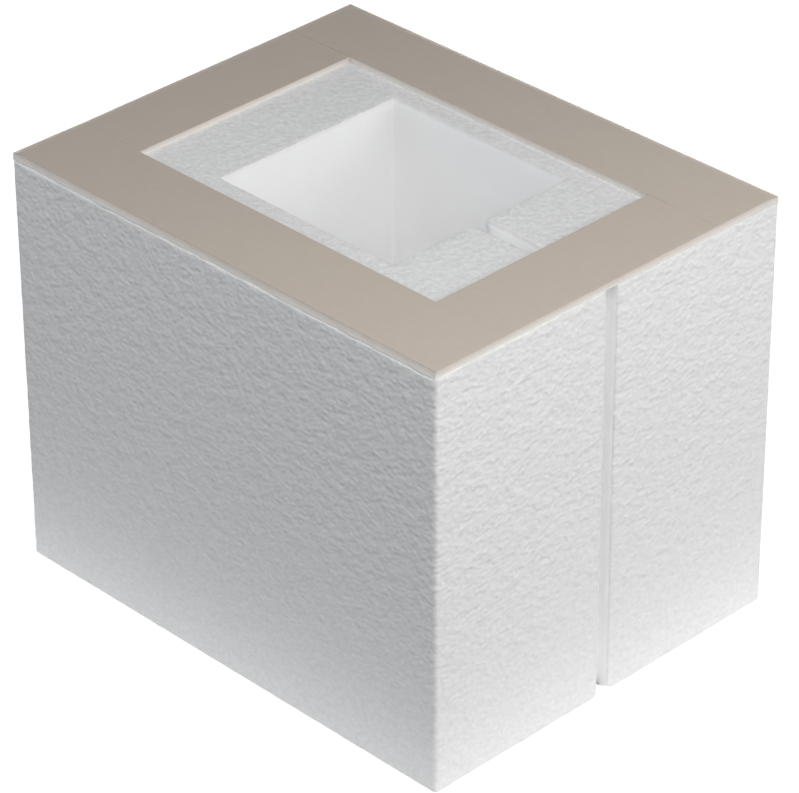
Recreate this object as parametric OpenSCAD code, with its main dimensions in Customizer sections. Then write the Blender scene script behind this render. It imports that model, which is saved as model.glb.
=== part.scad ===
// Wire-cut foam block with a square hole, an entry slit and a frame of self-adhesive gasket tape.
// X runs along the block from its plain end to its slit end, Y from front to back, Z up.
// The origin is the middle of the block's underside.

/* [Block] */
// Length of the block, from its plain end to its slit end
block_length = 254; // [240:1:300]
// Width of the block, from its front to its back
block_width = 203; // [198:1:240]
// Height of the block without its gasket frame
block_height = 200.2; // [120:0.2:260]
// Radius that handling leaves on the block's upright outer corners
corner_radius = 2; // [0.5:0.5:5]

/* [Hole] */
// Size of the hole along the block
hole_length = 104; // [80:1:110]
// Size of the hole across the block
hole_width = 103; // [80:1:104]
// Wall between the hole and the plain end
plain_wall = 74.5; // [65:0.5:80]
// Wall between the hole and the front face
front_wall = 51.5; // [45:0.5:54]
// Radius that the hot wire leaves in the hole's inside corners
wire_radius = 1; // [0.5:0.25:3]

/* [Slit] */
// Width of the slit where it leaves the hole
slit_root_width = 7.6; // [5:0.2:10]
// Width of the slit where it opens in the end face
slit_mouth_width = 6.2; // [5:0.2:10]
// Distance from the block's middle line to the slit's straight front side
slit_offset = 3.7; // [2:0.1:6]
// Radius on the front side where the wire turned out of the slit into the hole
turn_radius = 4.5; // [1:0.5:8]
// Radius on both edges where the slit opens in the end face
mouth_radius = 1; // [0.5:0.5:3]

/* [Gasket frame] */
// Width of the foam tape
tape_width = 38; // [25:1:40]
// Thickness of the foam tape without its release liner
tape_thickness = 2.8; // [1.6:0.2:6]
// Thickness of the release liner
liner_thickness = 0.2; // [0.1:0.1:0.6]
// Gap at each end of a short strip, where it butts against a long one
butt_gap = 0.3; // [0.1:0.1:1]
// How far the frame lies in from the block's front face
front_inset = 1.4; // [0:0.2:3]
// How far the frame lies in from the block's back face
back_inset = 0.2; // [0:0.2:3]
// How far the frame hangs over the block's plain end
end_overhang = 1; // [0:0.2:2]
// How far the frame lies in from the block's slit end
slit_end_inset = 1; // [0:0.2:3]

/* [Hidden] */
$fn = 48;

// Reach of a cut past the face that it opens in
past = 1;

// The block's faces
x_plain = -block_length / 2;
x_slit = block_length / 2;
y_front = -block_width / 2;
y_back = block_width / 2;

// The hole's sides
hole_x0 = x_plain + plain_wall;
hole_x1 = hole_x0 + hole_length;
hole_y0 = y_front + front_wall;
hole_y1 = hole_y0 + hole_width;

// The slit's straight front side, and its slanted back side at the hole and at the end face
slit_y0 = -slit_offset;
slit_y1_root = slit_y0 + slit_root_width;
slit_y1_mouth = slit_y0 + slit_mouth_width;

// The frame's outer edges, and the window that its strips leave
frame_x0 = x_plain - end_overhang;
frame_x1 = x_slit - slit_end_inset;
frame_y0 = y_front + front_inset;
frame_y1 = y_back - back_inset;
window_x0 = frame_x0 + tape_width;
window_x1 = frame_x1 - tape_width;
window_y0 = frame_y0 + tape_width;
window_y1 = frame_y1 - tape_width;

// Each strip's outline as [low x, low y, high x, high y]; the long strips run the frame's whole length
front_strip = [frame_x0, frame_y0, frame_x1, window_y0];
back_strip = [frame_x0, window_y1, frame_x1, frame_y1];
left_strip = [frame_x0, window_y0 + butt_gap, window_x0, window_y1 - butt_gap];
right_strip = [window_x1, window_y0 + butt_gap, frame_x1, window_y1 - butt_gap];

// A rectangle between two opposite corners
module area(x0, y0, x1, y1) {
    translate([x0, y0]) square([x1 - x0, y1 - y0]);
}

// A rectangle whose corners are round
module round_area(x0, y0, x1, y1, r) {
    area(x0 + r, y0, x1 - r, y1);
    area(x0, y0 + r, x1, y1 - r);
    for (x = [x0 + r, x1 - r], y = [y0 + r, y1 - r])
        translate([x, y]) circle(r);
}

// The scrap left outside a round corner of radius r, with the corner's tip at the origin.
// It fills the quarter towards sx and sy.
module corner_scrap(r, sx, sy) {
    mirror([sx < 0 ? 1 : 0, 0]) mirror([0, sy < 0 ? 1 : 0])
        difference() {
            square(r);
            translate([r, r]) circle(r);
        }
}

// The slit's outline, from inside the hole to past the end face
module slit_outline() {
    polygon([
        [hole_x1 - past, slit_y0],
        [x_slit, slit_y0],
        [x_slit + past, slit_y0],
        [x_slit + past, slit_y1_mouth],
        [x_slit, slit_y1_mouth],
        [hole_x1, slit_y1_root],
        [hole_x1 - past, slit_y1_root]
    ]);
}

// All that the hot wire takes out, in one pass in through the slit and round the hole
module wire_cut() {
    round_area(hole_x0, hole_y0, hole_x1, hole_y1, wire_radius);
    slit_outline();
    translate([hole_x1, slit_y0]) corner_scrap(turn_radius, 1, -1);
    translate([x_slit, slit_y0]) corner_scrap(mouth_radius, -1, -1);
    translate([x_slit, slit_y1_mouth]) corner_scrap(mouth_radius, -1, 1);
}

module foam_block() {
    color([0.93, 0.93, 0.93])
        linear_extrude(block_height)
            difference() {
                round_area(x_plain, y_front, x_slit, y_back, corner_radius);
                wire_cut();
            }
}

// A strip of foam tape, stuck down on the block's top
module gasket(strip) {
    color([0.87, 0.84, 0.8])
        translate([0, 0, block_height])
            linear_extrude(tape_thickness)
                area(strip[0], strip[1], strip[2], strip[3]);
}

// The release liner on a strip's upper adhesive face
module liner(strip) {
    color([0.66, 0.61, 0.56])
        translate([0, 0, block_height + tape_thickness])
            linear_extrude(liner_thickness)
                area(strip[0], strip[1], strip[2], strip[3]);
}

foam_block();
gasket(front_strip);  // front_gasket
gasket(back_strip);  // back_gasket
gasket(left_strip);  // left_gasket
gasket(right_strip);  // right_gasket
liner(front_strip);  // front_liner
liner(back_strip);  // back_liner
liner(left_strip);  // left_liner
liner(right_strip);  // right_liner
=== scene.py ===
"""Looks of a wire-cut foam block with a square hole, an entry slit and a frame of gasket tape.

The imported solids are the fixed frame. The block, each gasket strip and each release liner get
a dressed piece of their own, made from the solid that it stands for. Lengths are in metres.
"""

import math

import bpy
import numpy as np
from bpy.props import FloatProperty, FloatVectorProperty, PointerProperty
from mathutils import Matrix, Vector, noise
from mathutils.geometry import delaunay_2d_cdt


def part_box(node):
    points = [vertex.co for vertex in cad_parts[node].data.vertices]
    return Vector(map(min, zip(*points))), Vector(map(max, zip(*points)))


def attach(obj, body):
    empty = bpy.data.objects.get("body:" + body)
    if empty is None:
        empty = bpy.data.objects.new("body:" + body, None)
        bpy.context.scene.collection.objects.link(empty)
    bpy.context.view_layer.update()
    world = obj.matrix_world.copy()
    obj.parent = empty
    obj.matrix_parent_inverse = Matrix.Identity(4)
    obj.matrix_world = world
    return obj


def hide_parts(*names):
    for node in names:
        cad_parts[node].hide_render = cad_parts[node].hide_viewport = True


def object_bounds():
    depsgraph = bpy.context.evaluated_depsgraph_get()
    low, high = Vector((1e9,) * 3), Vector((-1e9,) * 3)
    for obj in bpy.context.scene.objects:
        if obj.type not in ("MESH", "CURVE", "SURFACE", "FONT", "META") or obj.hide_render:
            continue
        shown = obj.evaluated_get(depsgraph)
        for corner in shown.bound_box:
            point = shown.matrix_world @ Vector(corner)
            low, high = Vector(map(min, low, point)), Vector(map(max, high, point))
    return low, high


bl_info = {
    "name": "Foam block with gasket frame",
    "version": (1, 0, 0),
    "blender": (4, 5, 0),
    "location": "3D View > Sidebar > Foam block",
    "description": "Dresses the foam block, its gasket strips and their liners, and sets the stage",
    "category": "Object",
}

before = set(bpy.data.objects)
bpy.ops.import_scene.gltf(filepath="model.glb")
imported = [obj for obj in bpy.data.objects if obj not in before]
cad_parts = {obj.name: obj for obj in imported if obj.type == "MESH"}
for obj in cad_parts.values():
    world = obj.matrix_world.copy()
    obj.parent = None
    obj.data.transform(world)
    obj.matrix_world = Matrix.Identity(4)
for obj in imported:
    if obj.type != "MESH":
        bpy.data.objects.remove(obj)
CAD_LOW, CAD_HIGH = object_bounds()

MM = 0.001
BODY = "root"

BLOCK = "foam_block"
SIDES = ("front", "back", "left", "right")
WHITE = (1.0, 1.0, 1.0)

# How far each strip was laid off its true place by hand, at its four corners, in mm:
# low x low y, high x low y, high x high y, low x high y
ASKEW = {
    "front": ((0.3, 0.0), (0.0, 0.0), (0.0, 0.0), (0.8, 0.0)),
    "back": ((0.4, -1.2), (0.5, -0.2), (0.8, -0.6), (0.0, -1.9)),
    "left": ((0.8, 0.0), (0.0, 0.0), (0.0, -1.2), (0.4, -1.2)),
    "right": ((0.0, 0.0), (0.0, 0.0), (0.5, 0.0), (0.0, 0.0)),
}
# How far the short liners reach past their solids' ends
LINER_PAST_END = {"left": -0.15 * MM, "right": 0.3 * MM}

# The beads are pressed flat along a slanting line, to this share of their width
BEAD_SLANT = (-math.radians(24), 0.0, math.radians(58))
BEAD_SQUASH = 0.72


# ---------------------------------------------------------------- settings


def length(name, description, default):
    """A length that a user can set."""
    return FloatProperty(
        name=name,
        description=description,
        default=default,
        min=0.0,
        precision=5,
        unit="LENGTH",
        subtype="DISTANCE",
    )


def colour(name, description, default):
    """A colour that a user can set, in linear values."""
    return FloatVectorProperty(
        name=name,
        description=description,
        default=default,
        min=0.0,
        max=1.0,
        subtype="COLOR",
        size=3,
    )


class FoamSettings(bpy.types.PropertyGroup):
    """Sizes and colours of the expanded foam block."""

    bead: length("Bead size", "Width of one expanded bead on a cut face", 2.6 * MM)
    edge: length("Edge softness", "Rounding of the block's long edges at the top", 1.1 * MM)
    end_edge: length("End edge softness", "Rounding of the block's end edges at the top", 0.4 * MM)
    under_edge: length("Under edge softness", "Rounding of the outer edges underneath", 1.0 * MM)
    cut_edge: length("Cut edge softness", "Rounding of the edges of hole and slit", 0.3 * MM)
    jaw_wear: length("Jaw wear", "Height lost at the back jaw's foot beside the slit", 2.2 * MM)
    relief: length("Bead relief", "Height of the soft swells on a face", 0.03 * MM)
    edge_wear: length("Edge wear", "Depth of the dents along the edges", 0.25 * MM)
    bump: length("Bead bump", "Depth of the dips between beads", 0.45 * MM)
    face_step: length("Face mesh", "Mesh spacing on the outer faces", 1.85 * MM)
    wall_step: length("Wall mesh", "Mesh spacing in the hole and the slit", 2.6 * MM)
    glow: length("Glow depth", "How far light spreads below a wire-cut skin", 35.0 * MM)
    # Strength of the painted glow: an emission on the wire-cut walls in place of light seeping through
    # the foam into the slit
    painted_glow_strength: FloatProperty(
        name="Seeping light",
        description="Strength of the light that seeps through the foam into the slit",
        default=0.05,
        min=0.0,
    )
    tone: colour("Foam colour", "Colour of the foam's rough faces", (0.84, 0.84, 0.84))
    skin: colour("Wire-cut colour", "Colour of the smooth skin that the wire leaves", (0.91, 0.91, 0.91))


class TapeSettings(bpy.types.PropertyGroup):
    """Sizes and colours of the gasket strips and their liners."""

    softness: length("Tape softness", "Rounding of a strip's edges", 0.25 * MM)
    lean: length("Side lean", "How far a strip's outer side spreads towards its foot", 1.05 * MM)
    curl: length("Edge curl", "How far the frame's far edges are pressed down", 0.45 * MM)
    cockle: length("Cockle", "Height of the gentle waves in tape and liner", 0.06 * MM)
    step: length("Strip mesh", "Mesh spacing along a strip's edge", 2.0 * MM)
    core: colour("Tape colour", "Colour of the tape's foam at its foot", (0.795, 0.77, 0.735))
    rim: colour("Tape rim colour", "Colour of the tape's foam beside its liner", (0.6, 0.545, 0.49))
    liner: colour("Liner colour", "Colour of the release liner", (0.515, 0.452, 0.388))


class StageSettings(bpy.types.PropertyGroup):
    """Camera and studio light."""

    azimuth: FloatProperty(
        name="Azimuth",
        description="Camera's place round the block, from its front",
        default=math.radians(45.496),
        subtype="ANGLE",
    )
    elevation: FloatProperty(
        name="Elevation",
        description="Camera's height above the horizon",
        default=math.radians(31.7195),
        subtype="ANGLE",
    )
    roll: FloatProperty(
        name="Roll",
        description="Camera's turn about its own line of sight",
        default=math.radians(-0.217),
        subtype="ANGLE",
    )
    distance: length("Distance", "From the aim point to the camera", 1.8314)
    aim: FloatVectorProperty(
        name="Aim",
        description="Point that the camera looks at",
        default=(0.00783, -0.00392, 0.09835),
        size=3,
        unit="LENGTH",
        subtype="XYZ",
    )
    lens: FloatProperty(
        name="Lens",
        description="Focal length of the camera, in millimetres",
        default=191.167,
        unit="CAMERA",
    )


# ---------------------------------------------------------------- outlines


def underside_outline(mesh):
    """The loop round the underside of a solid, anticlockwise round its material, as (x, y) rows."""
    touch = 0.01 * MM
    low = min(v.co.z for v in mesh.vertices)
    sides = set()
    for face in mesh.polygons:
        corners = [mesh.vertices[i].co for i in face.vertices]
        if all(abs(c.z - low) < touch for c in corners):
            ring = [(round(c.x, 6), round(c.y, 6)) for c in corners]
            sides.update(zip(ring[1:] + ring[:1], ring))
    follows = {a: b for a, b in sides if (b, a) not in sides}
    loop = [min(follows)]
    while follows[loop[-1]] != loop[0]:
        loop.append(follows[loop[-1]])
    return np.array(loop)


def thinned(loop, gap):
    """The loop without the points that crowd its round corners; its straight sides stay whole."""
    straight = 3 * gap
    sides = np.linalg.norm(np.roll(loop, -1, axis=0) - loop, axis=1)
    kept = []
    for point, before, after in zip(loop, np.roll(sides, 1), sides):
        far = not kept or np.linalg.norm(point - kept[-1]) > gap
        if far or before > straight or after > straight:
            kept.append(point)
    return np.array(kept)


def spaced(loop, steps):
    """The loop with each side cut into even pieces no longer than its step."""
    points = []
    for start, end, step in zip(loop, np.roll(loop, -1, axis=0), steps):
        count = max(1, math.ceil(np.linalg.norm(end - start) / step))
        points += [start + (end - start) * k / count for k in range(count)]
    return np.array(points)


def inward(loop):
    """At each point of an anticlockwise loop, the step that moves both its sides in by 1."""
    ahead = np.roll(loop, -1, axis=0) - loop
    ahead /= np.linalg.norm(ahead, axis=1)[:, None]
    left = np.stack([-ahead[:, 1], ahead[:, 0]], axis=1)
    both = left + np.roll(left, 1, axis=0)
    return both / (0.5 * (both**2).sum(axis=1))[:, None]


def distance_to(points, loop):
    """Distance from each point to the nearest side of the loop."""
    best = np.full(len(points), np.inf)
    for start, end in zip(loop, np.roll(loop, -1, axis=0)):
        along = end - start
        share = np.clip((points - start) @ along / (along @ along), 0, 1)
        best = np.minimum(best, np.linalg.norm(points - start - share[:, None] * along, axis=1))
    return best


def inside(points, loop):
    """Whether each point lies inside the loop."""
    odd = np.zeros(len(points), bool)
    x, y = points[:, 0], points[:, 1]
    for (x0, y0), (x1, y1) in zip(loop, np.roll(loop, -1, axis=0)):
        crosses = (y0 > y) != (y1 > y)
        with np.errstate(divide="ignore", invalid="ignore"):
            odd ^= crosses & (x < x0 + (y - y0) * (x1 - x0) / (y1 - y0))
    return odd


def scattered(loop, pitch):
    """Points in staggered rows a pitch apart, inside the loop and clear of it."""
    low, high = loop.min(axis=0), loop.max(axis=0)
    rows = np.arange(low[1] + pitch / 2, high[1], pitch * math.sqrt(3) / 2)
    points = np.array(
        [
            (x, y)
            for k, y in enumerate(rows)
            for x in np.arange(low[0] + pitch * (0.5 + k % 2 / 2), high[0], pitch)
        ]
    )
    points = points[inside(points, loop)]
    return points[distance_to(points, loop) > 0.7 * pitch]


def smooth_share(distance, reach):
    """0 at no distance, rising smoothly to 1 at reach."""
    t = np.clip(distance / reach, 0, 1)
    return t * t * (3 - 2 * t)


# ---------------------------------------------------------------- meshes


def cap(ring, filling):
    """Triangles over the ring and the filling points inside it, as indices into both in turn."""
    points = [Vector(p) for p in np.vstack([ring, filling])]
    sides = [(i, (i + 1) % len(ring)) for i in range(len(ring))]
    triangles_inside = 1
    _, _, faces, origin, _, _ = delaunay_2d_cdt(points, sides, [], triangles_inside, 1e-9)
    return np.array([[origin[i][0] for i in face] for face in faces])


def soft_prism(loop, low, high, reach, drops, row_step, fillings):
    """An upright solid over the loop with rounded rims: its points, faces, and each point's column.

    reach is how far each column's rounding comes in. drops are its heights at the foot and the head.
    fillings are the points inside the foot's and the head's flat.
    """
    count = len(loop)
    step_in = inward(loop) * reach[:, None]
    turns = np.radians((0, 30, 60))
    foot_drop, head_drop = drops
    rings = [
        np.column_stack([loop + step_in * (1 - math.sin(t)), low + foot_drop * (1 - math.cos(t))])
        for t in turns
    ]
    rows = max(1, round((high - low) / row_step))
    for k in range(rows + 1):
        foot, head = low + foot_drop, high - head_drop
        rings.append(np.column_stack([loop, foot + (head - foot) * k / rows]))
    rings += [
        np.column_stack([loop + step_in * (1 - math.sin(t)), high - head_drop * (1 - math.cos(t))])
        for t in turns[::-1]
    ]
    points = np.vstack(rings)
    column = np.tile(np.arange(count), len(rings))
    here = np.arange(count)
    there = (here + 1) % count
    faces = [
        np.column_stack([here, there, there + count, here + count]) + k * count
        for k in range(len(rings) - 1)
    ]
    for ring, level, filling in ((0, low, fillings[0]), (len(rings) - 1, high, fillings[1])):
        triangles = cap(rings[ring][:, :2], filling)
        number = np.append(here + ring * count, len(points) + np.arange(len(filling)))
        triangles = number[triangles]
        faces.append(triangles[:, ::-1] if ring == 0 else triangles)
        points = np.vstack([points, np.column_stack([filling, np.full(len(filling), level)])])
        column = np.append(column, np.full(len(filling), -1))
    return points, [tuple(f) for part in faces for f in part.tolist()], column


def new_piece(name, points, faces):
    """A smooth-shaded mesh object in the scene."""
    mesh = bpy.data.meshes.new(name)
    mesh.from_pydata(points, [], faces)
    mesh.polygons.foreach_set("use_smooth", np.ones(len(mesh.polygons), bool))
    mesh.set_sharp_from_angle(angle=math.radians(50))
    mesh.update()
    piece = bpy.data.objects.new(name, mesh)
    bpy.context.scene.collection.objects.link(piece)
    return piece


def add_values(mesh, name, values):
    """Gives the mesh a value at each of its points, for its material to read."""
    made = mesh.attributes.new(name, "FLOAT", "POINT")
    made.data.foreach_set("value", values.astype(np.float32))


def move_points(mesh, points):
    """Puts the mesh's points at new places."""
    mesh.vertices.foreach_set("co", points.astype(np.float32).ravel())
    mesh.update()


def normals_of(mesh):
    """Each vertex's normal, as rows."""
    values = np.zeros(len(mesh.vertices) * 3, np.float32)
    mesh.vertex_normals.foreach_get("vector", values)
    return values.reshape(-1, 3).astype(float)


def lumps(points, size, seed):
    """Smooth noise from about -1 to 1 at each point, with lumps about size across."""
    shift = Vector((1.7, -3.1, 5.3)) * seed
    return np.array([noise.noise(Vector(p) / size + shift) for p in points])


# ---------------------------------------------------------------- finishes


class Finish:
    """A node material under construction."""

    def __init__(self, name):
        self.material = bpy.data.materials.new(name)
        self.material.use_nodes = True
        self.tree = self.material.node_tree
        self.tree.nodes.clear()
        self.shader = self.add("ShaderNodeBsdfPrincipled")
        output = self.add("ShaderNodeOutputMaterial")
        self.tree.links.new(self.shader.outputs[0], output.inputs["Surface"])
        self.place = self.add("ShaderNodeTexCoord").outputs["Object"]
        self.facing = self.add("ShaderNodeTexCoord").outputs["Normal"]

    def add(self, kind, settings=(), **inputs):
        """A new node. An input is a value or the output that feeds it."""
        made = self.tree.nodes.new(kind)
        for name, value in dict(settings).items():
            setattr(made, name, value)
        for name, value in inputs.items():
            self.feed(made.inputs[name.replace("_", " ")], value)
        return made

    def feed(self, socket, value):
        """Links an output to the socket, or sets its value."""
        if isinstance(value, bpy.types.NodeSocket):
            self.tree.links.new(value, socket)
        else:
            socket.default_value = value

    def attribute(self, name):
        """A value that the mesh holds at its points."""
        return self.add("ShaderNodeAttribute", {"attribute_name": name}).outputs["Fac"]

    def parts(self, vector):
        """A vector's X, Y and Z."""
        return self.add("ShaderNodeSeparateXYZ", Vector=vector).outputs

    def grain(self, size, detail, roughness=0.5, place=None):
        """Noise from 0 to 1 with lumps about size across."""
        return self.add(
            "ShaderNodeTexNoise",
            Vector=place or self.place,
            Scale=1 / size,
            Detail=detail,
            Roughness=roughness,
        ).outputs["Fac"]

    def reckon(self, kind, first, second=0.0):
        """A Math node's result."""
        made = self.add("ShaderNodeMath", {"operation": kind})
        self.feed(made.inputs[0], first)
        self.feed(made.inputs[1], second)
        return made.outputs[0]

    def plus(self, first, second):
        """Two values added."""
        return self.reckon("ADD", first, second)

    def times(self, first, second):
        """Two values multiplied."""
        return self.reckon("MULTIPLY", first, second)

    def ramp(self, value, low, high, to_low=0.0, to_high=1.0):
        """value taken from low..high to to_low..to_high, clamped."""
        return self.add(
            "ShaderNodeMapRange",
            Value=value,
            From_Min=low,
            From_Max=high,
            To_Min=to_low,
            To_Max=to_high,
        ).outputs[0]

    def blend(self, share, first, second, kind="MIX"):
        """Two colours or values mixed by share."""
        made = self.add("ShaderNodeMix", {"data_type": "RGBA", "blend_type": kind})
        self.feed(made.inputs["Factor"], share)
        self.feed(made.inputs["A"], first)
        self.feed(made.inputs["B"], second)
        return made.outputs["Result"]

    def tint(self, tone, shade):
        """A colour darkened or warmed by a shade."""
        return self.blend(1.0, tone, shade, "MULTIPLY")

    def set_bump(self, height, depth, strength=1.0):
        """Gives the surface a bump of the given depth."""
        made = self.add("ShaderNodeBump", Strength=strength, Height=height, Distance=depth)
        self.feed(self.shader.inputs["Normal"], made.outputs["Normal"])

    def set_sheen(self, roughness, specular):
        """Sets how dull the surface is, the same all over."""
        self.shader.inputs["Roughness"].default_value = roughness
        self.shader.inputs["Specular IOR Level"].default_value = specular


def foam_finish(settings):
    """Dull white expanded foam with its beads showing, and a smooth bright skin where the wire went,
    with painted glow and painted shade on that skin.
    """
    finish = Finish("beaded_foam")
    shader = finish.shader
    bead = settings.bead
    wire_cut = finish.attribute("wire_cut")
    facing = finish.parts(finish.facing)

    # Beads on the sides, a little lower on the ends
    flattened = finish.add(
        "ShaderNodeMapping",
        {"vector_type": "TEXTURE"},
        Vector=finish.place,
        Rotation=BEAD_SLANT,
        Scale=(1.0, 1.0, BEAD_SQUASH),
    ).outputs[0]
    clumps = finish.times(finish.grain(2.3 * bead, 0.0, place=flattened), 1.3)
    crumbs = finish.times(finish.grain(0.4 * bead, 1.0, place=flattened), 0.04)
    beads = finish.plus(finish.grain(bead, 0.0, place=flattened), clumps)
    beads = finish.plus(beads, crumbs)
    endways = finish.reckon("ABSOLUTE", facing["X"])
    beads = finish.times(beads, finish.ramp(endways, 0.0, 1.0, 1.0, 0.9))

    # The sawn top is specked instead: its cut beads are paler than the gaps between them
    upward = finish.ramp(facing["Z"], 0.2, 0.8)
    specks = finish.grain(0.65 * bead, 1.0)
    sawn = finish.plus(finish.times(specks, 0.3), finish.grain(1.1 * bead, 0.0))
    height = finish.plus(
        finish.times(beads, finish.ramp(upward, 0.0, 1.0, 1.0, 0.2)),
        finish.times(sawn, finish.ramp(upward, 0.0, 1.0, 0.0, 0.75)),
    )
    finish.set_bump(height, settings.bump, finish.ramp(wire_cut, 0.0, 1.0, 1.0, 0.2))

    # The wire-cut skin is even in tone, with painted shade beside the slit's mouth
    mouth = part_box(BLOCK)[1].x
    deep = finish.ramp(finish.parts(finish.place)["X"], mouth - 7 * MM, mouth - 3 * MM, 1.0, 0.0)
    shade = finish.ramp(finish.grain(0.9 * bead, 1.5, place=flattened), 0.25, 0.75, 0.93, 1.03)
    speck_shade = finish.ramp(specks, 0.35, 0.7, 0.9, 1.01)
    specked = finish.times(upward, finish.ramp(wire_cut, 0.0, 1.0, 1.0, 0.0))
    shade = finish.blend(specked, shade, speck_shade)
    # Painted shade: the wire-cut walls darken towards the slit's mouth
    shade = finish.blend(wire_cut, shade, finish.ramp(deep, 0.0, 1.0, 0.94, 0.99))
    tone = finish.blend(wire_cut, (*settings.tone, 1.0), (*settings.skin, 1.0))
    tone = finish.tint(tone, shade)

    # Painted shade dims the highlight on rounded edges, a little darker and warmer: rounded is 1 where
    # the surface faces halfway up
    level = finish.ramp(facing["Z"], 0.0, 1.0)
    rounded = finish.times(finish.times(level, finish.ramp(level, 0.0, 1.0, 1.0, 0.0)), 4.0)
    painted_edge_shade = finish.blend(rounded, (*WHITE, 1.0), (0.98, 0.96, 0.935, 1.0))
    finish.feed(shader.inputs["Base Color"], finish.tint(tone, painted_edge_shade))

    finish.feed(shader.inputs["Subsurface Weight"], wire_cut)
    shader.inputs["Subsurface Radius"].default_value = WHITE
    shader.inputs["Subsurface Scale"].default_value = settings.glow
    # Painted glow: the wire-cut walls emit light, weaker beside the slit's mouth, in place of light
    # seeping through the foam
    painted_glow_share = finish.times(finish.attribute("painted_glow"), finish.ramp(deep, 0.0, 1.0, 0.2, 1.0))
    shader.inputs["Emission Color"].default_value = (*WHITE, 1.0)
    finish.feed(shader.inputs["Emission Strength"], finish.times(painted_glow_share, settings.painted_glow_strength))
    finish.set_sheen(0.9, 0.2)
    return finish.material


def tape_finish(settings):
    """Cream closed-cell foam with fine cells showing on its cut sides."""
    finish = Finish("cream_tape_foam")
    cell = 0.7 * MM
    cells = finish.add("ShaderNodeTexVoronoi", Vector=finish.place, Scale=1 / cell).outputs["Distance"]
    grain = finish.grain(2.5 * MM, 3.0)
    finish.set_bump(finish.plus(cells, grain), 0.08 * MM)
    low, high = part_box("front_gasket")
    rise = finish.ramp(finish.parts(finish.place)["Z"], low.z, high.z)
    tone = finish.blend(rise, (*settings.core, 1.0), (*settings.rim, 1.0))
    tone = finish.tint(tone, finish.ramp(grain, 0.0, 1.0, 0.96, 1.03))
    finish.feed(finish.shader.inputs["Base Color"], tone)
    finish.set_sheen(0.75, 0.3)
    return finish.material


def liner_finish(settings):
    """Satin tan release paper, faintly mottled, with a painted sheen that lightens it along its length,
    and fine fibres.
    """
    finish = Finish("tan_release_paper")
    mottle = finish.grain(14 * MM, 3.0)
    fibres = finish.grain(1.6 * MM, 4.0, 0.6)
    finish.set_bump(finish.plus(fibres, finish.times(mottle, 2.0)), 0.02 * MM)
    paper = Vector(settings.liner)
    tone = finish.blend(mottle, (*(paper * 0.975), 1.0), (*(paper * 1.02), 1.0))
    flecks = finish.ramp(finish.grain(3 * MM, 2.0), 0.3, 0.7, 0.985, 1.015)
    # Painted sheen: the paper grows lighter along X towards the slit end
    painted_sheen = finish.ramp(finish.parts(finish.place)["X"], CAD_LOW.x, CAD_HIGH.x, 0.895, 1.07)
    tone = finish.tint(tone, finish.times(flecks, painted_sheen))
    finish.feed(finish.shader.inputs["Base Color"], tone)
    finish.set_sheen(0.5, 0.35)
    return finish.material


# ---------------------------------------------------------------- the block


def wire_path(loop, low, high, margin):
    """Whether each side of the loop lies clear of the block's outer faces, where the wire went in."""
    middle = (loop + np.roll(loop, -1, axis=0)) / 2
    clear = np.minimum(middle - low[:2], high[:2] - middle).min(axis=1)
    return clear > margin


def reach_from(loop, chosen):
    """Distance along the loop from each of its points to the nearest chosen one."""
    steps = np.linalg.norm(np.roll(loop, -1, axis=0) - loop, axis=1)
    place = np.append(0, np.cumsum(steps))[:-1]
    gap = np.abs(place[:, None] - place[chosen][None, :])
    return np.minimum(gap, steps.sum() - gap).min(axis=1)


def window():
    """The low and the high corner of the window that the strips leave."""
    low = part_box("left_gasket")[1].x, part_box("front_gasket")[1].y
    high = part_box("right_gasket")[0].x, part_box("back_gasket")[0].y
    return low, high


def top_filling(flat, step):
    """Points over the block's top: close together in the window, and wide apart under the strips."""
    low, high = window()
    shown = scattered(flat, step)
    in_window = ((shown > low) & (shown < high)).all(axis=1)
    covered = scattered(flat, 5 * MM)
    beside = ((covered < low) | (covered > high)).any(axis=1)
    return np.vstack([shown[in_window], covered[beside]])


def worn(points, normals, mouth, settings):
    """The block's points with soft swells, dented edges, and the jaws' feet worn beside the slit.

    mouth is the part of the outline where the slit opens.
    """
    low, high = (np.array(c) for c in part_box(BLOCK))
    edge_lean = 0.29
    on_edge = np.clip((1 - np.abs(normals).max(axis=1)) / edge_lean, 0, 1)
    swell = settings.relief * lumps(points, 5 * MM, 1)
    dents = settings.edge_wear * lumps(points, 4 * MM, 2) * on_edge
    points = points + normals * (swell + dents)[:, None]
    back_wear, front_wear = settings.jaw_wear, 0.4 * settings.jaw_wear
    for y, wear in ((mouth[:, 1].max(), back_wear), (mouth[:, 1].min(), front_wear)):
        away = np.linalg.norm(points[:, :2] - (high[0], y), axis=1)
        lift = wear * np.exp(-((away / (2.5 * MM)) ** 2))
        points[:, 2] += lift * np.exp(-(points[:, 2] - low[2]) / (3 * MM))
    return points


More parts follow.
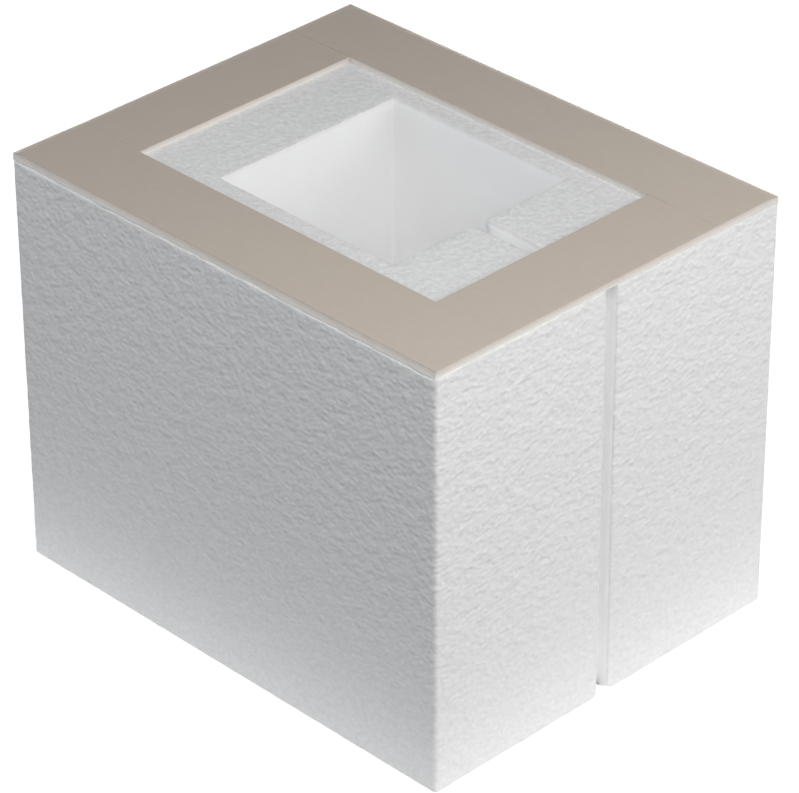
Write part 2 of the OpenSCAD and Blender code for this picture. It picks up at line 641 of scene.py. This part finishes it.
def painted_glow(points, column, loop, cut_points, on_wall):
    """How strongly each point of the wire-cut walls glows: a painted glow in place of light seeping
    through the foam.

    It glows in the slit, most at its head and its foot, and along the hole's back and plain
    sides from the corner where they meet.
    """
    low, high = (np.array(c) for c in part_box(BLOCK))
    # The slit keeps to the block's middle line, so cut points far from it are the hole's
    from_middle = np.abs(loop[:, 1] - (low[1] + high[1]) / 2)
    hole = loop[cut_points & (from_middle > 15 * MM)]
    hole_low, hole_high = hole.min(axis=0), hole.max(axis=0)
    in_slit = cut_points & (loop[:, 0] > hole_high[0] + 0.5 * MM)
    depth = high[0] - loop[:, 0]
    share = (1.6 - 0.65 * smooth_share(depth - 8 * MM, 25 * MM)) * in_slit

    corner = 1.2 * MM
    along = loop[:, 0] - hole_low[0]
    from_back = hole_high[1] - loop[:, 1]
    on_back = cut_points & (from_back < corner) & (loop[:, 0] < hole_high[0] - 1 * MM)
    on_plain = cut_points & (along < corner) & ~on_back
    share += (1.1 - 0.1 * smooth_share(along, 5 * MM) - 0.4 * smooth_share(along, 60 * MM)) * on_back
    share += 0.5 * np.exp(-from_back / (7 * MM)) * on_plain

    # Each point takes its column's share of the painted glow, and more of it under the short strip at
    # the slit end
    share = np.append(share, 0.0)[column] * on_wall
    under_tape = on_wall & (points[:, 0] > window()[1][0])
    by_head = np.exp(-(high[2] - points[:, 2]) / (10 * MM)) * under_tape
    by_foot = np.exp(-(points[:, 2] - low[2]) / (15 * MM)) * under_tape
    return share + (1.1 + 0.6 * share) * by_head + 1.5 * by_foot


class FOAMBLOCK_OT_cut_block(bpy.types.Operator):
    """Make the expanded foam block, with its hole, its slit and its softened edges"""

    bl_idname = "foamblock.cut_block"
    bl_label = "Cut the foam block"

    def execute(self, context):
        s = context.scene.foam_settings
        low, high = (np.array(c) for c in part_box(BLOCK))
        outline = thinned(underside_outline(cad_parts[BLOCK].data), 0.4 * MM)
        margin = 1.5 * MM
        cut = wire_path(outline, low, high, margin)
        loop = spaced(outline, np.where(cut, s.wall_step, s.face_step))
        in_cut = wire_path(loop, low, high, margin)
        cut_points = in_cut | np.roll(in_cut, 1)

        # The rims soften away from the hole and the slit
        outer = smooth_share(reach_from(loop, cut_points), 12 * MM)
        endways = np.clip((np.abs(loop[:, 0]) - high[0]) / (2 * MM) + 1, 0, 1)
        edge = s.edge + (s.end_edge - s.edge) * endways
        head = s.cut_edge + (edge - s.cut_edge) * outer
        foot = s.cut_edge + (s.under_edge - s.cut_edge) * outer

        flat = loop + inward(loop) * head[:, None]
        fillings = scattered(flat, 4 * MM), top_filling(flat, 1.1 * s.face_step)
        points, faces, column = soft_prism(
            loop, low[2], high[2], head, (foot, head), s.face_step, fillings
        )
        block = new_piece("block", points, faces)
        mesh = block.data
        mouth = loop[cut_points & (loop[:, 0] > high[0] - 3 * MM)]
        points = worn(points, normals_of(mesh), mouth, s)
        move_points(mesh, points)

        below_rim = points[:, 2] < high[2] - 1.5 * s.cut_edge
        on_wall = np.append(cut_points, False)[column] & below_rim
        add_values(mesh, "wire_cut", on_wall)
        # Painted glow on the wire-cut walls, for the foam's emission to read
        add_values(mesh, "painted_glow", painted_glow(points, column, loop, cut_points, on_wall))
        mesh.materials.append(foam_finish(s))
        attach(block, BODY)
        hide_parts(BLOCK)
        return {"FINISHED"}


# ---------------------------------------------------------------- the gasket frame


def strip_outline(side, past_end, step):
    """A strip's outline as laid by hand: its solid's box, askew, with its ends in Y drawn out."""
    low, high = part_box(f"{side}_gasket")
    corners = np.array(
        [
            (low.x, low.y - past_end),
            (high.x, low.y - past_end),
            (high.x, high.y + past_end),
            (low.x, high.y + past_end),
        ]
    )
    corners += np.array(ASKEW[side]) * MM
    return spaced(corners, [step] * 4)


def butted(loop, side):
    """Where a strip's outline meets another strip: at a short strip's ends, and inside a long one's."""
    near = 2 * MM
    low, high = window()
    at_joint = (np.abs(loop[:, 1] - low[1]) < near) | (np.abs(loop[:, 1] - high[1]) < near)
    if side in ("front", "back"):
        at_joint &= (loop[:, 0] < low[0]) | (loop[:, 0] > high[0])
    return at_joint


def strip_filling(flat):
    """Points over a strip's flat: scattered, with a row just inside its outline."""
    depth = 1.2 * MM
    row = flat + inward(flat) * depth
    return np.vstack([scattered(flat, 3 * MM), row[distance_to(row, flat) > 0.98 * depth]])


def leaning(points, foot, head, lean):
    """A strip's points with the frame's outer sides leaning.

    They spread towards the foot at the front and the slit end, and draw in at the plain end.
    """
    rise = (points[:, 2] - foot) / (head - foot)
    spread = lean * (1 - rise) * (1 + 0.4 * lumps(points, 9 * MM, 4))
    at_front = points[:, 1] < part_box("front_gasket")[0].y + 0.5 * MM
    at_slit_end = points[:, 0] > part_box("right_gasket")[1].x - 0.5 * MM
    at_plain_end = points[:, 0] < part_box("left_gasket")[0].x + 2 * MM
    points[:, 1] -= spread * at_front
    points[:, 0] += 0.8 * spread * at_plain_end
    points[:, 0] += np.minimum(0.45 * spread, CAD_HIGH.x - points[:, 0]) * at_slit_end
    return points


def cockled(points, loop, base, top, settings):
    """The points raised by the gentle waves that the tape lies in, from none at its base.

    The frame's edges at the plain end and at the back are pressed down.
    """
    at_plain_end = loop[:, 0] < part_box("left_liner")[0].x + 2 * MM
    at_back = loop[:, 1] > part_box("back_liner")[1].y - 3 * MM
    nearest = np.full(len(points), np.inf)
    for point in loop[at_plain_end | at_back]:
        nearest = np.minimum(nearest, np.linalg.norm(points[:, :2] - point, axis=1))
    waves = settings.cockle * lumps(points * (1, 1, 0), 22 * MM, 3)
    waves -= settings.curl * smooth_share(2.0 * MM - nearest, 1.4 * MM)
    share = np.clip((points[:, 2] - base) / (top - base), 0, 1)
    return points + np.outer(waves * share, (0, 0, 1))


class FOAMBLOCK_OT_lay_gaskets(bpy.types.Operator):
    """Make the four strips of foam tape on the block's top"""

    bl_idname = "foamblock.lay_gaskets"
    bl_label = "Lay the gasket strips"

    def execute(self, context):
        s = context.scene.tape_settings
        finish = tape_finish(s)
        for side in SIDES:
            node = f"{side}_gasket"
            low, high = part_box(node)
            to_neighbour = 0.3 * MM if side in ("left", "right") else 0.0
            loop = strip_outline(side, to_neighbour, s.step)
            soft = np.where(butted(loop, side), 0.04 * MM, s.softness)
            filling = strip_filling(loop + inward(loop) * soft[:, None])
            points, faces, _ = soft_prism(
                loop, low.z, high.z, soft, (soft * 0.5, soft), 0.5 * MM, (filling, filling)
            )
            piece = new_piece(f"{side}_strip", points, faces)
            points = leaning(points, low.z, high.z, s.lean)
            move_points(piece.data, cockled(points, loop, low.z, high.z, s))
            piece.data.materials.append(finish)
            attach(piece, BODY)
            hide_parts(node)
        return {"FINISHED"}


class FOAMBLOCK_OT_lay_liners(bpy.types.Operator):
    """Make the four release liners on the strips"""

    bl_idname = "foamblock.lay_liners"
    bl_label = "Lay the release liners"

    def execute(self, context):
        s = context.scene.tape_settings
        finish = liner_finish(s)
        for side in SIDES:
            node = f"{side}_liner"
            low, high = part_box(node)
            thickness = high.z - low.z
            loop = strip_outline(side, LINER_PAST_END.get(side, 0.0), s.step)
            soft = np.full(len(loop), 0.3 * thickness)
            filling = strip_filling(loop + inward(loop) * soft[:, None])
            points, faces, _ = soft_prism(
                loop, low.z, high.z, soft, (soft, soft), thickness, (filling, filling)
            )
            points = cockled(points, loop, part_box(f"{side}_gasket")[0].z, low.z, s)
            piece = new_piece(f"{side}_release_liner", points, faces)
            piece.data.materials.append(finish)
            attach(piece, BODY)
            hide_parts(node)
        return {"FINISHED"}


# ---------------------------------------------------------------- the stage


def seen_as_background(tree):
    """1 for rays that show the background: from the camera, or by way of gloss or glass."""
    path = tree.nodes.new("ShaderNodeLightPath")
    share = path.outputs["Is Camera Ray"]
    for name in ("Is Glossy Ray", "Is Transmission Ray"):
        most = tree.nodes.new("ShaderNodeMath")
        most.operation = "MAXIMUM"
        tree.links.new(share, most.inputs[0])
        tree.links.new(path.outputs[name], most.inputs[1])
        share = most.outputs[0]
    return share


def studio_world():
    """A world that gives no light of its own, seen as plain white."""
    world = bpy.data.worlds.new("studio")
    world.use_nodes = True
    tree = world.node_tree
    tree.nodes.clear()
    dark = tree.nodes.new("ShaderNodeBackground")
    dark.inputs["Strength"].default_value = 0.0
    white = tree.nodes.new("ShaderNodeBackground")
    white.inputs["Color"].default_value = (*WHITE, 1.0)
    mixed = tree.nodes.new("ShaderNodeMixShader")
    output = tree.nodes.new("ShaderNodeOutputWorld")
    tree.links.new(seen_as_background(tree), mixed.inputs[0])
    tree.links.new(dark.outputs[0], mixed.inputs[1])
    tree.links.new(white.outputs[0], mixed.inputs[2])
    tree.links.new(mixed.outputs[0], output.inputs["Surface"])
    bpy.context.scene.world = world


def floor_finish():
    """A dull pale floor that is seen as white and keeps a light shadow."""
    material = bpy.data.materials.new("studio_floor")
    material.use_nodes = True
    tree = material.node_tree
    tree.nodes.clear()
    plain = tree.nodes.new("ShaderNodeBsdfDiffuse")
    plain.inputs["Color"].default_value = (0.3, 0.3, 0.3, 1.0)
    faint = tree.nodes.new("ShaderNodeBsdfDiffuse")
    faint.inputs["Color"].default_value = (0.25, 0.25, 0.25, 1.0)
    glow = tree.nodes.new("ShaderNodeEmission")
    glow.inputs["Strength"].default_value = 0.92
    lit = tree.nodes.new("ShaderNodeAddShader")
    mixed = tree.nodes.new("ShaderNodeMixShader")
    output = tree.nodes.new("ShaderNodeOutputMaterial")
    tree.links.new(faint.outputs[0], lit.inputs[0])
    tree.links.new(glow.outputs[0], lit.inputs[1])
    tree.links.new(seen_as_background(tree), mixed.inputs[0])
    tree.links.new(plain.outputs[0], mixed.inputs[1])
    tree.links.new(lit.outputs[0], mixed.inputs[2])
    tree.links.new(mixed.outputs[0], output.inputs["Surface"])
    return material


def looking(azimuth, elevation, roll=0.0):
    """The axes of something that looks at the block from there, as a rotation matrix."""
    back = Vector(
        (
            math.sin(azimuth) * math.cos(elevation),
            -math.cos(azimuth) * math.cos(elevation),
            math.sin(elevation),
        )
    )
    right = Vector((math.cos(azimuth), math.sin(azimuth), 0.0))
    up = back.cross(right)
    turn = Matrix.Rotation(roll, 3, "Z")
    return Matrix((right, up, back)).transposed() @ turn


def area_lamp(name, sizes, watts, tint, place, axes):
    """A rectangular lamp that shines down its own Z axis."""
    lamp = bpy.data.lights.new(name, "AREA")
    lamp.shape = "RECTANGLE"
    lamp.size, lamp.size_y = sizes
    lamp.energy = watts
    lamp.color = tint
    made = bpy.data.objects.new(name, lamp)
    made.matrix_world = Matrix.Translation(place) @ axes.to_4x4()
    bpy.context.scene.collection.objects.link(made)
    return made


def lamp_facing(name, azimuth, elevation, sizes, watts, tint):
    """A rectangular lamp that faces the block's middle from there, given in degrees."""
    axes = looking(math.radians(azimuth), math.radians(elevation))
    middle = Vector((0.0, 0.0, CAD_HIGH.z / 2))
    area_lamp(name, sizes, watts, tint, middle + axes.col[2] * LAMP_DISTANCE, axes)


def light_pad(margin, radiance):
    """The thin lit pad that the block stands on: it lights the foot and shines up through the hole."""
    low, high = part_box(BLOCK)
    sizes = [high[i] - low[i] + 2 * margin for i in (0, 1)]
    place = Vector(((low.x + high.x) / 2, (low.y + high.y) / 2, low.z - 0.05 * MM))
    facing_up = Matrix.Rotation(math.pi, 3, "X")
    watts = math.pi * sizes[0] * sizes[1] * radiance
    pad = area_lamp("light_pad", sizes, watts, WHITE, place, facing_up)
    pad.visible_camera = False


LAMP_DISTANCE = 1.1
SOFTBOX = (0.8, 0.8)
# No higher than the block, so that it lights only the far sides
LOW_STRIP = (1.0, 0.19)
LAMPS = (
    # name, azimuth, elevation, size, watts, tint
    ("high_softbox", 60.0, 50.0, SOFTBOX, 8.25, WHITE),
    ("right_softbox", 120.0, 20.0, SOFTBOX, 5.4, WHITE),
    ("left_softbox", -38.0, 30.0, SOFTBOX, 3.8, (0.92, 0.955, 1.0)),
    ("back_fill", 225.0, 0.0, LOW_STRIP, 7.0, WHITE),
)


class FOAMBLOCK_OT_set_stage(bpy.types.Operator):
    """Set the camera, the floor and the soft studio light"""

    bl_idname = "foamblock.set_stage"
    bl_label = "Set the stage"

    def execute(self, context):
        s = context.scene.stage_settings
        lens = bpy.data.cameras.new("camera")
        lens.lens = s.lens
        lens.sensor_width = 36.0
        lens.clip_start, lens.clip_end = 0.1, 50.0
        camera = bpy.data.objects.new("camera", lens)
        axes = looking(s.azimuth, s.elevation, s.roll)
        place = Vector(s.aim) + axes.col[2] * s.distance
        camera.matrix_world = Matrix.Translation(place) @ axes.to_4x4()
        context.scene.collection.objects.link(camera)
        context.scene.camera = camera

        half, level = 4.0, CAD_LOW.z - 0.1 * MM
        corners = [(x * half, y * half, level) for x, y in ((-1, -1), (1, -1), (1, 1), (-1, 1))]
        floor = new_piece("floor", corners, [(0, 1, 2, 3)])
        floor.data.materials.append(floor_finish())
        for lamp in LAMPS:
            lamp_facing(*lamp)
        light_pad(margin=60 * MM, radiance=0.62)
        studio_world()
        context.scene.view_settings.view_transform = "Standard"
        return {"FINISHED"}


# ---------------------------------------------------------------- add-on


class FOAMBLOCK_PT_panel(bpy.types.Panel):
    """The steps that dress the block, in order"""

    bl_idname = "FOAMBLOCK_PT_panel"
    bl_label = "Foam block"
    bl_space_type = "VIEW_3D"
    bl_region_type = "UI"
    bl_category = "Foam block"

    def draw(self, context):
        for settings, operators in STEPS:
            box = self.layout.box()
            group = getattr(context.scene, settings)
            for name in group.bl_rna.properties.keys():
                if name not in ("rna_type", "name"):
                    box.prop(group, name)
            for operator in operators:
                box.operator(operator.bl_idname)


STEPS = (
    ("foam_settings", (FOAMBLOCK_OT_cut_block,)),
    ("tape_settings", (FOAMBLOCK_OT_lay_gaskets, FOAMBLOCK_OT_lay_liners)),
    ("stage_settings", (FOAMBLOCK_OT_set_stage,)),
)
GROUPS = {
    "foam_settings": FoamSettings,
    "tape_settings": TapeSettings,
    "stage_settings": StageSettings,
}
CLASSES = (
    *GROUPS.values(),
    *(operator for _, operators in STEPS for operator in operators),
    FOAMBLOCK_PT_panel,
)


def register():
    """Adds the classes and the scene's settings."""
    for made in CLASSES:
        bpy.utils.register_class(made)
    for name, group in GROUPS.items():
        setattr(bpy.types.Scene, name, PointerProperty(type=group))


def unregister():
    """Takes them out again."""
    for name in GROUPS:
        delattr(bpy.types.Scene, name)
    for made in reversed(CLASSES):
        bpy.utils.unregister_class(made)


def main():
    """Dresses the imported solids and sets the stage."""
    register()
    bpy.ops.foamblock.cut_block()
    bpy.ops.foamblock.lay_gaskets()
    bpy.ops.foamblock.lay_liners()
    bpy.ops.foamblock.set_stage()


if __name__ == "__main__":
    main()
